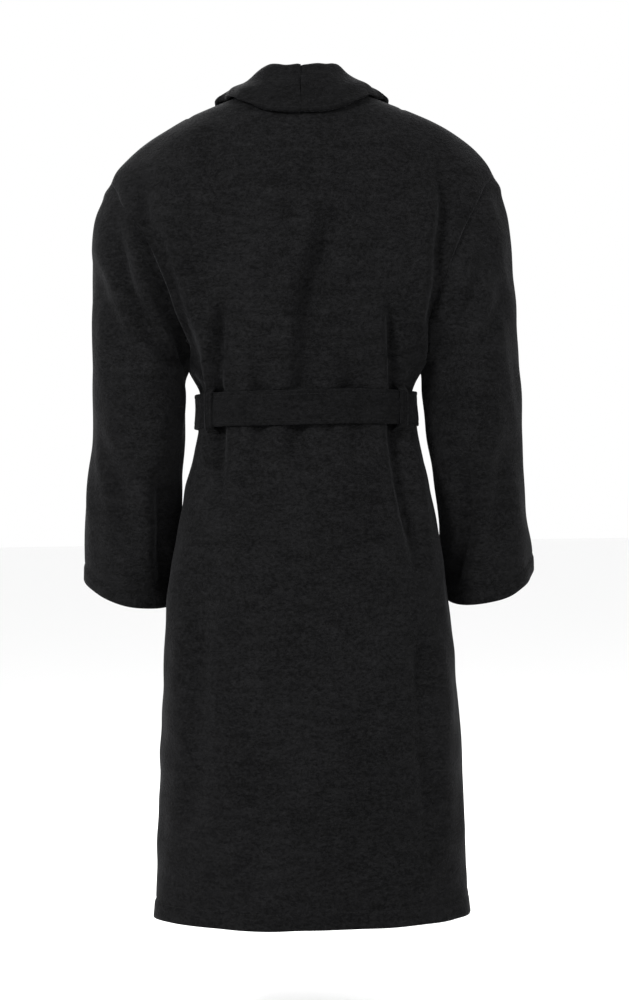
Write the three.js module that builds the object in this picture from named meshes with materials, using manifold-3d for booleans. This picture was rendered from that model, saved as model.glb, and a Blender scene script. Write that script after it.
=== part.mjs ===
// A shawl-collared terry bathrobe as it hangs on a body, belt tied and arms down.
// Millimetres, +Z up, the front towards -Y and the wearer's left towards +X. The origin is
// on the centre line, level with the points where the shoulder seams meet the neckline.

import * as THREE from "three";
import { mergeVertices } from "three/addons/utils/BufferGeometryUtils.js";
import Module from "manifold-3d";

const { Vector3, CatmullRomCurve3 } = THREE;
const { lerp, clamp } = THREE.MathUtils;

// ---------------------------------------------------------------- driving dimensions

const CLOTH = 4;                // one layer of terry
const SEAM = 0.4;               // space between two pieces sewn edge to edge
const LAYER = 1.5;              // space between two pieces that lie one on the other

const HEM_Z = -1153;
const HEM_X = 214;              // half-widths of the skirt, inside the cloth
const HIP_X = 191;
const HIP_DROP = 271;           // from the waist down to the hip
const WAIST_X = 149;
const WAIST_Z = -442;

const NECK_X = 92;              // neckline at the shoulder seam, from the centre
const NECK_DIP = 18;            // the back neckline below the shoulder seams
const SHOULDER_X = 272;
const SHOULDER_Z = -110;
const SHOULDER_ROUND = 1.75;    // 1 is a straight shoulder seam
const ARMPIT_X = 170;
const ARMPIT_Z = -372;
const ARMHOLE_DEPTH = 92;       // half the armhole, front to back
const ARMHOLE_EASE = 6;         // cloth let in between a panel and its sleeve
const SECTION_ROUND = 2.4;      // 2 is an ellipse, more is squarer

const BACK_DEPTH = 124;         // half-depths at the chest, inside the cloth
const FRONT_DEPTH = 114;
const WAIST_DEPTH = 107;
const HEM_DEPTH = 152;

const CUFF_X = 266;             // middle of the cuff
const CUFF_Y = -48;
const CUFF_Z = -690;
const CUFF_WIDTH = 114;         // inside, side to side
const CUFF_DEPTH = 144;         // inside, front to back
const CUFF_TILT = 0.38;         // radians, its back edge is the lower one

const WRAP_X = 52;              // how far a front's edge passes the centre at the belt
const WRAP_HEM_X = 60;          // and at the hem
const LAPEL = 84;               // width of the turned lapel
const LAPEL_THICK = 7;          // two layers, pressed
const COLLAR_STAND = 52;        // height of the collar's roll above its seam, at the back
const COLLAR_FALL = 64;         // from the roll down to the collar's edge, at the back
const FACING = 2.5;             // thickness of the facings
const FRONT_FACING_WIDTH = 50;
const NECK_FACING_X = 150;
const NECK_FACING_DROP = 146;
const NECK_FACING_EASE = 12;    // its upper edge lies this far below the shoulder seams

const BELT_WIDTH = 48;
const BELT_THICK = 5;
const TAIL_LENGTH = 380;
const TAIL_SPACE = 8;           // the two ends hang this far apart
const KNOT = [52, 38, 50];
const LOOP_X = 128;
const LOOP_WIDTH = 16;
const LOOP_THICK = 3;
const LOOP_MARGIN = 15;         // of a belt loop, above and below the belt

const POCKET_WIDTH_X = 108;     // seen from the front
const POCKET_SIDE_X = 178;
const POCKET_TOP = -616;
const POCKET_HEIGHT = 184;
const POCKET_ROOM = 14;         // how far a pocket stands open
const POCKET_SEAM = 6;          // width of the sewn edge round a pocket

const TAPE_WIDTH = 8;
const TAPE_THICK = 1.5;
const HANGER_WIDTH = 56;        // clears the collar's curve when it is turned up
const HANGER_DROP = 34;
const HANGER_BAND = 6;
const HANGER_THICK = 2.4;

// ---------------------------------------------------------------- the body of the robe

const smooth = (t) => { const k = clamp(t, 0, 1); return k * k * (3 - 2 * k); };

// A smooth curve of a value against height, through [height, value] stations from the top.
function stations(...points) {
  return (z) => {
    let i = 0;
    while (i < points.length - 2 && z < points[i + 1][0]) i++;
    const slope = (k) => {
      const before = points[Math.max(k - 1, 0)];
      const after = points[Math.min(k + 1, points.length - 1)];
      return (after[1] - before[1]) / (after[0] - before[0]);
    };
    const [z0, a] = points[i];
    const [z1, b] = points[i + 1];
    const t = clamp((z - z0) / (z1 - z0), 0, 1);
    const span = z1 - z0;
    return a * (1 + 2 * t) * (1 - t) ** 2 + b * t * t * (3 - 2 * t)
      + span * (slope(i) * t * (1 - t) ** 2 - slope(i + 1) * t * t * (1 - t));
  };
}

const HIP_Z = WAIST_Z - HIP_DROP;
const BELT_TOP = WAIST_Z + BELT_WIDTH / 2;
const BELT_BOTTOM = WAIST_Z - BELT_WIDTH / 2;

const sideWidth = stations([ARMPIT_Z, ARMPIT_X], [BELT_TOP, WAIST_X], [BELT_BOTTOM, WAIST_X + 1],
  [lerp(BELT_BOTTOM, HIP_Z, 0.35), lerp(WAIST_X, HIP_X, 0.5)], [HIP_Z, HIP_X],
  [lerp(HIP_Z, HEM_Z, 0.5), lerp(HIP_X, HEM_X, 0.75)], [HEM_Z, HEM_X]);
const backDepth = stations([0, 0.6 * BACK_DEPTH], [0.5 * SHOULDER_Z, 0.8 * BACK_DEPTH],
  [1.4 * SHOULDER_Z, BACK_DEPTH], [lerp(SHOULDER_Z, ARMPIT_Z, 0.7), BACK_DEPTH], [BELT_TOP, WAIST_DEPTH],
  [BELT_BOTTOM, WAIST_DEPTH], [lerp(BELT_BOTTOM, HIP_Z, 0.5), lerp(WAIST_DEPTH, HEM_DEPTH, 0.6)],
  [HEM_Z, HEM_DEPTH]);
const frontDepth = stations([0, 0.54 * FRONT_DEPTH], [0.5 * SHOULDER_Z, 0.74 * FRONT_DEPTH],
  [1.7 * SHOULDER_Z, FRONT_DEPTH], [ARMPIT_Z, FRONT_DEPTH], [BELT_TOP, WAIST_DEPTH],
  [BELT_BOTTOM, WAIST_DEPTH], [lerp(BELT_BOTTOM, HIP_Z, 0.5), lerp(WAIST_DEPTH, HEM_DEPTH, 0.6)],
  [HEM_Z, HEM_DEPTH]);

const shoulderLine = (x) =>
  SHOULDER_Z * clamp((x - NECK_X) / (SHOULDER_X - NECK_X), 0, 1) ** SHOULDER_ROUND;
const shoulderWidth = (z) =>
  lerp(NECK_X, SHOULDER_X, clamp(z / SHOULDER_Z, 0, 1) ** (1 / SHOULDER_ROUND));

// Half-width of the panels at a height: down the armholes, then down the side seams.
function panelWidth(z) {
  if (z >= SHOULDER_Z) return SHOULDER_X;
  if (z > ARMPIT_Z) return lerp(SHOULDER_X, ARMPIT_X, (z - SHOULDER_Z) / (ARMPIT_Z - SHOULDER_Z));
  return sideWidth(z);
}

// How far the armhole's edge stands behind (or in front of) the side, at a height.
function armholeReach(z) {
  const t = (z - SHOULDER_Z) / (ARMPIT_Z - SHOULDER_Z);
  return t > 0 && t < 1 ? ARMHOLE_DEPTH * Math.sqrt(1 - (2 * t - 1) ** 2) : 0;
}

// A point on the inside of the robe's cloth. side is 1 for the back and -1 for the front.
function bodyPoint(side, x, z) {
  const width = z > SHOULDER_Z ? shoulderWidth(z) : panelWidth(z);
  const deep = side > 0 ? backDepth(z) : frontDepth(z);
  const reach = armholeReach(z);
  const power = lerp(1 / SECTION_ROUND, 1, reach / ARMHOLE_DEPTH);
  const inside = Math.max(0, 1 - Math.abs(x / width) ** SECTION_ROUND);
  const y = reach + (deep - reach) * inside ** power;
  return new Vector3(x, side * (y + SEAM / 2), z);
}

// The edge of a front, from the neck across the chest and down to the hem; and the place
// that the left front takes outside the right front and its lapel.
const frontEdge = (z) => (z > BELT_TOP ? lerp(NECK_X, -WRAP_X, z / BELT_TOP)
  : lerp(-WRAP_X, -WRAP_HEM_X, (z - BELT_TOP) / (HEM_Z - BELT_TOP)));
const WRAP_LIFT = CLOTH + LAPEL_THICK + 4 * LAYER;
const wrapLift = (x, z) => WRAP_LIFT * smooth((z - SHOULDER_Z / 2) / (1.1 * SHOULDER_Z))
  * (1 - smooth((Math.abs(x) - WRAP_HEM_X - 6) / 50));

// ---------------------------------------------------------------- making closed sheets

// A body between two grids of points, lower(u, v) and upper(u, v), with u and v from 0 to 1.
// A ring closes on itself along u.
function sheet(columns, rows, lower, upper, ring = false) {
  const across = ring ? columns : columns + 1;
  const positions = [];
  for (const face of [lower, upper]) {
    for (let j = 0; j <= rows; j++) {
      for (let i = 0; i < across; i++) positions.push(...face(i / columns, j / rows).toArray());
    }
  }
  const at = (layer, i, j) => (layer * (rows + 1) + j) * across + (i % across);
  const index = [];
  const quad = (a, b, c, d) => index.push(a, b, c, a, c, d);
  for (let j = 0; j < rows; j++) {
    for (let i = 0; i < columns; i++) {
      quad(at(1, i, j), at(1, i + 1, j), at(1, i + 1, j + 1), at(1, i, j + 1));
      quad(at(0, i, j), at(0, i, j + 1), at(0, i + 1, j + 1), at(0, i + 1, j));
    }
  }
  for (let i = 0; i < columns; i++) {
    quad(at(0, i, 0), at(0, i + 1, 0), at(1, i + 1, 0), at(1, i, 0));
    quad(at(0, i, rows), at(1, i, rows), at(1, i + 1, rows), at(0, i + 1, rows));
  }
  for (let j = 0; j < rows && !ring; j++) {
    quad(at(0, 0, j), at(1, 0, j), at(1, 0, j + 1), at(0, 0, j + 1));
    quad(at(0, columns, j), at(0, columns, j + 1), at(1, columns, j + 1), at(1, columns, j));
  }
  return closed(positions, index);
}

// A geometry whose faces all point outwards.
function closed(positions, index) {
  const corner = (k) => new Vector3().fromArray(positions, 3 * k);
  let volume = 0;
  for (let k = 0; k < index.length; k += 3) {
    volume += corner(index[k]).dot(corner(index[k + 1]).cross(corner(index[k + 2])));
  }
  const geometry = new THREE.BufferGeometry();
  geometry.setAttribute("position", new THREE.Float32BufferAttribute(positions, 3));
  geometry.setIndex(volume > 0 ? index : index.toReversed());
  return geometry;
}

// The outward normal of a face(u, v); on a shoulder or side seam it stays in the seam's plane.
function outward(face, u, v) {
  const step = 0.004;
  const along = (du, dv) => face(clamp(u + du, 0, 1), clamp(v + dv, 0, 1));
  const across = along(step, 0).sub(along(-step, 0));
  const down = along(0, step).sub(along(0, -step));
  const normal = across.cross(down);
  const here = face(u, v);
  if (normal.x * here.x + normal.y * here.y < 0) normal.negate();
  if (Math.abs(here.y) < SEAM) normal.y = 0;
  return normal.normalize();
}

// The face moved out from the inside of the cloth, by a distance that may vary.
const raised = (face, distance) => (u, v) => {
  const here = face(u, v);
  return here.clone().addScaledVector(outward(face, u, v), distance(here.x, here.z));
};

// A layer of cloth on a face, between two distances from it.
const layer = (columns, rows, face, from, to, ring = false) =>
  sheet(columns, rows, raised(face, from), raised(face, to), ring);

const flip = (face) => (u, v) => face(u, v).multiply(new Vector3(-1, 1, 1));

// ---------------------------------------------------------------- panels

const UPPER_ROWS = 9;
const LOWER_LEVELS = [ARMPIT_Z, lerp(ARMPIT_Z, BELT_TOP, 0.6), BELT_TOP, BELT_BOTTOM,
  BELT_BOTTOM - 30, ...[0.16, 0.3, 0.46, 0.64, 0.82, 1].map((t) => lerp(BELT_BOTTOM, HEM_Z, t))];
const PANEL_ROWS = UPPER_ROWS + LOWER_LEVELS.length - 1;

// The height of a point v of the way down a panel whose top is at a given height.
function panelHeight(top, v) {
  const row = v * PANEL_ROWS;
  if (row <= UPPER_ROWS) return lerp(top, ARMPIT_Z, (row / UPPER_ROWS) ** 1.5);
  const k = Math.min(Math.floor(row - UPPER_ROWS), LOWER_LEVELS.length - 2);
  return lerp(LOWER_LEVELS[k], LOWER_LEVELS[k + 1], row - UPPER_ROWS - k);
}

const neckline = (x) => -NECK_DIP * (1 - (x / NECK_X) ** 2);
const backTop = (x) => (Math.abs(x) < NECK_X ? neckline(x) : shoulderLine(Math.abs(x)));

function backFace(u, v) {
  const share = Math.sin((u - 0.5) * Math.PI);
  const z = panelHeight(backTop(share * SHOULDER_X), v);
  return bodyPoint(1, share * panelWidth(z), z);
}

// The left front: u goes from its free edge to the side seam.
function frontFace(u, v) {
  const share = Math.sin((u * Math.PI) / 2);
  let top = 0;
  for (let k = 0; k < 40; k++) top = shoulderLine(lerp(frontEdge(top), SHOULDER_X, share));
  const z = panelHeight(top, v);
  return bodyPoint(-1, lerp(frontEdge(z), panelWidth(z), share), z);
}

const backPanel = () => layer(22, PANEL_ROWS, backFace, () => 0, () => CLOTH);
const frontPanelLeft = () =>
  layer(14, PANEL_ROWS, frontFace, wrapLift, (x, z) => wrapLift(x, z) + CLOTH);
const frontPanelRight = () => layer(14, PANEL_ROWS, flip(frontFace), () => 0, () => CLOTH);

// The half-moon that faces the inside of the back neck.
function neckFacing() {
  const face = (u, v) => {
    const x = lerp(-NECK_FACING_X, NECK_FACING_X, u);
    const top = backTop(x) - NECK_FACING_EASE;
    const edge = backTop(NECK_FACING_X) - 2 * NECK_FACING_EASE;
    const bottom = lerp(edge, -NECK_FACING_DROP, Math.sqrt(1 - (x / NECK_FACING_X) ** 2));
    return bodyPoint(1, x, lerp(top, bottom, v));
  };
  return layer(20, 6, face, () => -3.5 * LAYER - FACING, () => -3.5 * LAYER);
}

// The strip that faces the inside of a front's edge, from the belt to just above the hem.
function frontFacing(mirrored) {
  const face = (u, v) => {
    const z = lerp(BELT_BOTTOM, HEM_Z + 3, v);
    return bodyPoint(-1, frontEdge(z) + 2 + u * FRONT_FACING_WIDTH, z);
  };
  const lift = mirrored ? 0 : WRAP_LIFT;
  const out = lift - 2 * LAYER;
  return layer(3, 10, mirrored ? flip(face) : face, () => out - FACING, () => out);
}

// A stay tape under the shoulder seam, a strip with a flat underside.
function shoulderTape(sign) {
  const from = NECK_X + 24;
  const to = SHOULDER_X - 20;
  const point = (edge, drop) => (u, v) => {
    const x = lerp(from, to, u);
    return new Vector3(sign * x, edge * (v - 0.5) * TAPE_WIDTH, shoulderLine(x) - drop);
  };
  return sheet(6, 1, point(1, 2 * LAYER + TAPE_THICK), point(1, 2 * LAYER));
}

// ---------------------------------------------------------------- sleeves

const EASE = new Vector3(ARMPIT_Z - SHOULDER_Z, 0, SHOULDER_X - ARMPIT_X).normalize()
  .multiplyScalar(-ARMHOLE_EASE);
const cuffCorner = (side) => new Vector3(CUFF_X + side * CUFF_WIDTH / 2, CUFF_Y, CUFF_Z + side * 16);

// The lines along the outer and the under side of the left sleeve, inside the cloth.
const outerLine = new CatmullRomCurve3([
  new Vector3(SHOULDER_X, 0, SHOULDER_Z).add(EASE),
  new Vector3(SHOULDER_X + 22, 0, SHOULDER_Z - 100),
  new Vector3(SHOULDER_X + 31, 2, lerp(SHOULDER_Z, CUFF_Z, 0.53)),
  cuffCorner(1),
]);
const underLine = new CatmullRomCurve3([
  new Vector3(ARMPIT_X, 0, ARMPIT_Z).add(EASE),
  new Vector3(ARMPIT_X + 16, 0, ARMPIT_Z - 42),
  new Vector3(WAIST_X + 39, 2, WAIST_Z - 70),
  cuffCorner(-1),
]);

function sleeve(mirrored) {
  const ring = (out) => (u, v) => {
    const outer = outerLine.getPoint(v);
    const under = underLine.getPoint(v);
    const middle = outer.clone().lerp(under, 0.5);
    const wide = outer.clone().sub(middle);
    const tilt = CUFF_TILT * smooth((v - 0.55) / 0.45);
    const deep = new Vector3(0, Math.cos(tilt), -Math.sin(tilt))
      .multiplyScalar(lerp(ARMHOLE_DEPTH, CUFF_DEPTH / 2, smooth(v)) + out);
    wide.setLength(wide.length() + out);
    const turn = 2 * Math.PI * u;
    return middle.addScaledVector(wide, Math.cos(turn)).addScaledVector(deep, Math.sin(turn));
  };
  const faces = [ring(0), ring(CLOTH)].map((face) => (mirrored ? flip(face) : face));
  return sheet(24, 13, ...faces, true);
}

// ---------------------------------------------------------------- collar

// The height at which the outside of the back reaches a place in plan, searched from the top.
function restHeight(x, y) {
  let high = 0;
  let low = WAIST_Z;
  for (let k = 0; k < 30; k++) {
    const z = (high + low) / 2;
    if (bodyPoint(1, x, z).y + CLOTH < y) high = z; else low = z;
  }
  return high + CLOTH;
}

// One half of the shawl collar, swept from the seam at the centre back, round the neck and down
// the lapel. Each station is an outline: seam, inside and top of the roll, middle of the fall,
// the two corners of the collar's edge, and the crook under the roll.
function collar(mirrored) {
  const outlines = [];
  for (const degrees of [90, 72, 54, 36, 18, 3]) {
    const turn = THREE.MathUtils.degToRad(degrees);
    const round = (wide, deep, z) =>
      new Vector3(wide * Math.cos(turn) + SEAM / 2, deep * Math.sin(turn), z);
    const back = Math.sin(turn);
    const seamZ = lerp(0, -NECK_DIP, back ** 2) + CLOTH + 2 * LAYER;
    const rollZ = seamZ + COLLAR_STAND * lerp(0.45, 1, smooth(back));
    const edge = round(NECK_X + 24, BACK_DEPTH * 0.8, 0);
    const inner = round(NECK_X + 20, BACK_DEPTH * 0.76, 0);
    const edgeZ = Math.max(restHeight(inner.x, inner.y) + 3 * LAYER, rollZ - COLLAR_FALL);
    outlines.push([
      round(NECK_X - 4, BACK_DEPTH * 0.59, seamZ),
      round(NECK_X - 24, BACK_DEPTH * 0.48, rollZ - 6),
      round(NECK_X - 16, BACK_DEPTH * 0.54, rollZ),
      round(NECK_X + 4, BACK_DEPTH * 0.69, lerp(rollZ, edgeZ, 0.5) + 5),
      edge.setZ(edgeZ + 3),
      inner.setZ(edgeZ),
      round(NECK_X + 2, BACK_DEPTH * 0.67, seamZ + 6),
    ]);
  }
  const lift = (x, z) => (mirrored ? 0 : wrapLift(Math.max(x - 30, 0), z)) + CLOTH + 2.5 * LAYER;
  const full = 0.55 * SHOULDER_Z;
  for (let k = 0; k <= 12; k++) {
    const z = lerp(-6, BELT_TOP + 14, (k / 12) ** 1.6);
    const width = lerp(28, LAPEL, smooth(z / full));
    const on = (x, height) => {
      const face = (u, v) => bodyPoint(-1, x + (u - 0.5) * 10, z + (0.5 - v) * 10);
      return face(0.5, 0.5).addScaledVector(outward(face, 0.5, 0.5), lift(x, z) + height);
    };
    const edge = frontEdge(z);
    outlines.push([on(edge, 0), on(edge - 2, LAPEL_THICK / 2), on(edge, LAPEL_THICK),
      on(edge + width / 2, LAPEL_THICK), on(edge + width, LAPEL_THICK), on(edge + width, 0),
      on(edge + width / 2, 0)]);
  }
  const positions = outlines.flat().flatMap((p) => [mirrored ? -p.x : p.x, p.y, p.z]);
  const sides = 7;
  const index = [];
  for (let k = 0; k + 1 < outlines.length; k++) {
    for (let i = 0; i < sides; i++) {
      const [a, b] = [k * sides + i, k * sides + ((i + 1) % sides)];
      index.push(a, b, b + sides, a, b + sides, a + sides);
    }
  }
  const last = (outlines.length - 1) * sides;
  const crook = sides - 1;
  for (let i = 0; i + 1 < crook; i++) {
    index.push(crook, i + 1, i);
    index.push(last + crook, last + i, last + i + 1);
  }
  return closed(positions, index);
}

// ---------------------------------------------------------------- belt

const beltLift = (x, y) => CLOTH + LAYER
  + (y < 0 ? WRAP_LIFT * (1 - smooth((Math.abs(x) - WRAP_HEM_X - 6) / 50)) : 0);

function beltBand() {
  const face = (u, v) => {
    const turn = 2 * Math.PI * u;
    const z = lerp(BELT_TOP, BELT_BOTTOM, v);
    return bodyPoint(Math.cos(turn) >= 0 ? 1 : -1, Math.sin(turn) * panelWidth(z), z);
  };
  const wound = (out) => (u, v) => {
    const here = face(u, v);
    const ring = (du) => face((u + du + 1) % 1, v);
    const along = ring(0.004).sub(ring(-0.004));
    const normal = new Vector3(along.y, -along.x, 0).normalize();
    if (normal.x * here.x + normal.y * here.y < 0) normal.negate();
    return here.clone().addScaledVector(normal, beltLift(here.x, here.y) + out);
  };
  return sheet(60, 1, wound(0), wound(BELT_THICK), true);
}

const KNOT_Y = -(frontDepth(WAIST_Z) + WRAP_LIFT + CLOTH + 3 * LAYER + BELT_THICK + KNOT[1] / 2);

function beltKnot() {
  const lump = new THREE.SphereGeometry(0.5, 14, 9);
  lump.scale(...KNOT);
  lump.translate(0, KNOT_Y, WAIST_Z);
  lump.deleteAttribute("normal");
  lump.deleteAttribute("uv");
  return mergeVertices(lump, 1e-3);
}

const TAIL_TOP = BELT_BOTTOM - 7 * LAYER;   // room to swing up clear of the belt

function beltTail(sign) {
  const inner = TAIL_SPACE / 2;
  const face = (u, v) =>
    bodyPoint(-1, sign * (inner + u * (BELT_WIDTH - 2)), TAIL_TOP - v * TAIL_LENGTH);
  const from = WRAP_LIFT + CLOTH + 2 * LAYER;
  return layer(2, 9, face, () => from, () => from + BELT_THICK);
}

// A belt loop: a strip sewn to the back above and below the belt, arched over it.
function beltLoop(sign) {
  const reach = LOOP_MARGIN + BELT_WIDTH / 2;
  const face = (u, v) => bodyPoint(1, sign * (LOOP_X + (u - 0.5) * LOOP_WIDTH), WAIST_Z + (0.5 - v) * 2 * reach);
  const room = CLOTH + BELT_THICK + 2 * LAYER + LAYER;
  const arch = (x, z) => {
    const fromEnd = (reach - Math.abs(z - WAIST_Z)) / LOOP_MARGIN;
    return lerp(CLOTH + LAYER, room, smooth(fromEnd));
  };
  return layer(2, 14, face, arch, (x, z) => arch(x, z) + LOOP_THICK);
}

// ---------------------------------------------------------------- pockets and small pieces

const wasm = await Module();
wasm.setup();

function solid(geometry) {
  const { position } = geometry.attributes;
  return new wasm.Manifold(new wasm.Mesh({
    numProp: 3,
    vertProperties: Float32Array.from(position.array),
    triVerts: Uint32Array.from(geometry.index.array),
  }));
}

function cut(geometry, tool) {
  const mesh = solid(geometry).subtract(solid(tool)).getMesh();
  const result = new THREE.BufferGeometry();
  result.setAttribute("position", new THREE.Float32BufferAttribute(mesh.vertProperties, 3));
  result.setIndex([...mesh.triVerts]);
  return result;
}

// A patch pocket that stands a little open: sewn down both sides and along the bottom.
function pocket(mirrored) {
  const face = (inset, over) => (u, v) => {
    const x = lerp(POCKET_SIDE_X - POCKET_WIDTH_X + inset, POCKET_SIDE_X - inset, u);
    return bodyPoint(-1, x, lerp(POCKET_TOP + over, POCKET_TOP - POCKET_HEIGHT + inset, v));
  };
  const base = (x, z) => (mirrored ? 0 : wrapLift(x, z)) + CLOTH + LAYER + SEAM;
  const room = (x, z) => {
    const across = clamp((POCKET_SIDE_X - Math.abs(x)) / POCKET_WIDTH_X, 0, 1);
    const up = smooth((z - POCKET_TOP + POCKET_HEIGHT) / (0.6 * POCKET_HEIGHT));
    return POCKET_ROOM * Math.sin(Math.PI * across) ** 0.6 * lerp(0.35, 1, up);
  };
  const side = (f) => (mirrored ? flip(f) : f);
  const outside = layer(10, 6, side(face(0, 0)), base, (x, z) => base(x, z) + room(x, z) + CLOTH);
  const inside = layer(10, 6, side(face(POCKET_SEAM, 20)), (x, z) => base(x, z) - 3,
    (x, z) => base(x, z) + room(x, z));
  return cut(outside, inside);
}

// The hanger loop: a narrow tape hanging inside the back neck, open in the middle.
function hangerLoop() {
  const outline = new THREE.Shape();
  const half = HANGER_WIDTH / 2;
  const corner = 10;
  outline.moveTo(-half, 0).lineTo(-half, corner - HANGER_DROP);
  outline.absarc(corner - half, corner - HANGER_DROP, corner, Math.PI, 1.5 * Math.PI, false);
  outline.absarc(half - corner, corner - HANGER_DROP, corner, 1.5 * Math.PI, 2 * Math.PI, false);
  outline.lineTo(half, 0).closePath();
  const gap = new THREE.Path();
  const [side, foot] = [half - HANGER_BAND, HANGER_BAND - HANGER_DROP];
  gap.moveTo(-side, -HANGER_BAND).lineTo(side, -HANGER_BAND).lineTo(side, foot).lineTo(-side, foot);
  outline.holes.push(gap.closePath());
  const band = new THREE.ExtrudeGeometry(outline,
    { depth: HANGER_THICK, bevelEnabled: false, curveSegments: 4 });
  band.deleteAttribute("normal");
  band.deleteAttribute("uv");
  return mergeVertices(band.rotateX(Math.PI / 2), 1e-3);
}

// ---------------------------------------------------------------- the assembly

const robe = new THREE.Group();
const terry = (color) => new THREE.MeshStandardMaterial({ color, roughness: 0.95, metalness: 0 });
const panelCloth = terry(0x161618);
const doubledCloth = terry(0x19191c);
const tapeCloth = terry(0x101012);

function add(name, geometry, material) {
  const mesh = new THREE.Mesh(geometry, material);
  mesh.name = name;
  robe.add(mesh);
  return mesh;
}

add("back_panel", backPanel(), panelCloth);
add("front_panel_left", frontPanelLeft(), panelCloth);
add("front_panel_right", frontPanelRight(), panelCloth);
add("back_neck_facing", neckFacing(), panelCloth);
add("belt_band", beltBand(), doubledCloth);
add("belt_knot", beltKnot(), doubledCloth);
for (const [name, mirrored] of [["left", false], ["right", true]]) {
  const sign = mirrored ? -1 : 1;
  add(`sleeve_${name}`, sleeve(mirrored), panelCloth);
  add(`collar_${name}`, collar(mirrored), doubledCloth);
  add(`front_facing_${name}`, frontFacing(mirrored), panelCloth);
  add(`shoulder_tape_${name}`, shoulderTape(sign), tapeCloth);
  add(`belt_loop_${name}`, beltLoop(sign), doubledCloth);
  add(`belt_tail_${name}`, beltTail(sign), doubledCloth);
  add(`pocket_${name}`, pocket(mirrored), doubledCloth);
}
add("hanger_loop", hangerLoop(), tapeCloth)
  .position.set(0, backDepth(-NECK_DIP) - FACING - 6 * LAYER, -NECK_DIP + 4);

export default robe;
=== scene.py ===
"""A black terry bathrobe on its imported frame: sewn panels, folds, stitching, collar and belt."""
import math

import bpy
import numpy as np
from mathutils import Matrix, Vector


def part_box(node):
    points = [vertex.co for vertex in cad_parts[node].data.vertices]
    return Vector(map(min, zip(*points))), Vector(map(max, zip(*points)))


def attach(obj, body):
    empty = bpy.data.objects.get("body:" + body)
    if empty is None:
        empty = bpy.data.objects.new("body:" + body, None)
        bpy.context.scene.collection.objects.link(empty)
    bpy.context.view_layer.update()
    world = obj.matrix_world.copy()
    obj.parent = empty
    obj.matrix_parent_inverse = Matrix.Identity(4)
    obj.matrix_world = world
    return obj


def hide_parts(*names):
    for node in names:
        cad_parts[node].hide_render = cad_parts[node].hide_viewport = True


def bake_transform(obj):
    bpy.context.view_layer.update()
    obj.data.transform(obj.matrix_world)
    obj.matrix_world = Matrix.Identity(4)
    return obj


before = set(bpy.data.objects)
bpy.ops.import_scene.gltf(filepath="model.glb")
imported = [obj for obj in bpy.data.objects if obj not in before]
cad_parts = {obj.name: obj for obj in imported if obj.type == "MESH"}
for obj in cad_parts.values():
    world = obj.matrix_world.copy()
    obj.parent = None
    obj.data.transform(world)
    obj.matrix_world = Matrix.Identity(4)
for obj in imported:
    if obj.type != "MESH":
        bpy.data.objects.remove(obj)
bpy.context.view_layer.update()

# ------------------------------------------------------------------ sizes, in metres

CLOTH = 0.004
HEM_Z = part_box("back_panel")[0].z
BELT_LOW, BELT_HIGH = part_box("belt_band")
WAIST_Z = (BELT_LOW.z + BELT_HIGH.z) / 2
BELT_THICK = 0.005
BELT_ROOM = 0.0055              # from the inside of the cloth to the belt
WAIST_X = BELT_HIGH.x - BELT_THICK - BELT_ROOM
HIP_Z = WAIST_Z - 0.271
HEM_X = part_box("back_panel")[1].x - 0.056
HIP_X = HEM_X - 0.023
HEM_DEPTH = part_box("back_panel")[1].y - CLOTH
WAIST_DEPTH = 0.107
BACK_DEPTH = 0.124
FRONT_DEPTH = 0.114
NECK_X = 0.092
NECK_DIP = 0.018
SHOULDER = (0.272, -0.110)      # outer end of the shoulder seam: x and z
SHOULDER_SLOPE = 0.62           # share of the drop that is straight, the rest bends down at the end
ARMPIT = (0.170, -0.372)
ARMHOLE_DEPTH = 0.092
ARMHOLE_BOW = 0.016             # the seam curves in towards the back
SECTION_ROUND = 2.4
WRAP_X = 0.052
WRAP_HEM_X = 0.060
WRAP_LIFT = 0.017               # the left front lies this far outside the right one
LAPEL = 0.084
LAPEL_THICK = 0.007
CUFF = Vector((0.266, -0.048, -0.690))
CUFF_WIDTH = 0.114
CUFF_DEPTH = 0.144
CUFF_TILT = 0.38
HEM_FOLD = 0.023                # depth of the turned hem
CUFF_FOLD = 0.019
STITCH = 0.0042                 # from one stitch to the next


# ------------------------------------------------------------------ small maths

def smooth(t):
    t = np.clip(t, 0, 1)
    return t * t * (3 - 2 * t)


def mix(a, b, t):
    return a + (b - a) * t


def bump(d, width):
    return np.exp(-(d / width) ** 2)


def stations(*points):
    """A smooth curve of a value against height, through (height, value) pairs from the top."""
    heights = np.array([p[0] for p in points])
    values = np.array([p[1] for p in points])
    before = np.r_[0, np.arange(len(points) - 1)]
    after = np.r_[np.arange(1, len(points)), len(points) - 1]
    slopes = (values[after] - values[before]) / (heights[after] - heights[before])

    def value(z):
        i = np.clip(np.searchsorted(-heights, -np.asarray(z), side="right") - 1, 0, len(points) - 2)
        span = heights[i + 1] - heights[i]
        t = np.clip((z - heights[i]) / span, 0, 1)
        return (values[i] * (1 + 2 * t) * (1 - t) ** 2 + values[i + 1] * t * t * (3 - 2 * t)
                + span * (slopes[i] * t * (1 - t) ** 2 - slopes[i + 1] * t * t * (1 - t)))
    return value


def drift(points, size, seed, terms=14):
    """Soft, irregular waves about size long, between about -1 and 1."""
    rng = np.random.default_rng(seed)
    total = np.zeros(points.shape[:-1])
    for _ in range(terms):
        way = rng.normal(size=3)
        way *= rng.uniform(0.6, 1.5) / np.linalg.norm(way)
        total += np.sin(points @ way * (2 * math.pi / size) + rng.uniform(0, 2 * math.pi))
    return total / math.sqrt(terms)


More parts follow.
